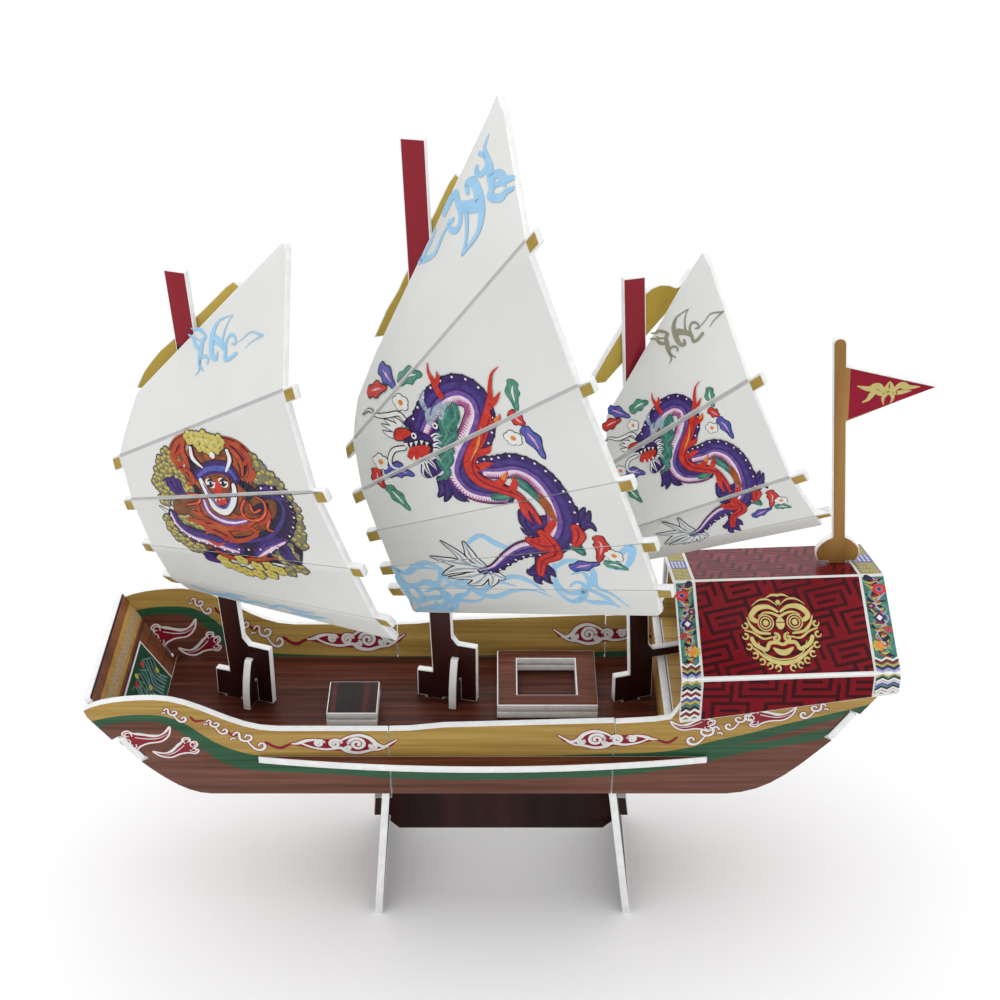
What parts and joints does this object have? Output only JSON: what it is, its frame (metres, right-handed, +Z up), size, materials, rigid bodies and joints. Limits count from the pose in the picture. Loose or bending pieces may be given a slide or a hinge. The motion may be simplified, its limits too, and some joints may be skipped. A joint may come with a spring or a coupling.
{
  "type": "model junk sailboat",
  "caption": "Slot-together foam board model of a junk, with printed hull boards, folded sails and a gabled stern cabin, standing on its own two-board stand.",
  "frame": {"origin": "middle of the overall box in plan, on the floor that the stand rests on", "axes": "+X towards the bow, +Y to port, the side that the sails are mounted on, +Z up"},
  "size_m": [0.321, 0.1064, 0.3382],
  "materials": {
    "printed_wood": "matte print on foam board",
    "deck_wood": "matte print on foam board",
    "printed_gold": "matte print on foam board",
    "printed_rosewood": "matte print on foam board",
    "printed_crimson": "matte print on foam board",
    "printed_white": "satin white foam board"
  },
  "bodies": {
    "root": {"bow_bottom": "printed_wood", "bow_transom": "printed_wood", "bulkhead": "printed_gold", "cabin_back_wall": "printed_crimson", "cabin_roof": "printed_crimson", "deck": "deck_wood", "flagpole": "printed_gold", "hatch_large_lower": "deck_wood", "hatch_large_upper": "deck_wood", "hatch_small_lower": "deck_wood", "hatch_small_upper": "deck_wood", "hull_bottom": "printed_wood", "mast_aft": "printed_rosewood", "mast_brace_fore": "printed_rosewood", "mast_brace_main": "printed_rosewood", "mast_fore": "printed_rosewood", "mast_main": "printed_rosewood", "poop_deck": "printed_gold", "rub_rail_port": "printed_wood", "rub_rail_starboard": "printed_wood", "sail_aft": "printed_white", "sail_fore": "printed_white", "sail_main": "printed_white", "side_port_bow": "printed_wood", "side_port_middle": "printed_wood", "side_port_stern": "printed_wood", "side_starboard_bow": "printed_wood", "side_starboard_middle": "printed_wood", "side_starboard_stern": "printed_wood", "stand_aft": "printed_rosewood", "stand_fore": "printed_rosewood", "stand_stretcher": "printed_rosewood", "stern_bottom": "printed_wood", "stern_transom": "printed_wood", "yard_aft": "printed_gold", "yard_fore": "printed_gold", "yard_main": "printed_gold"}
  },
  "joints": []
}
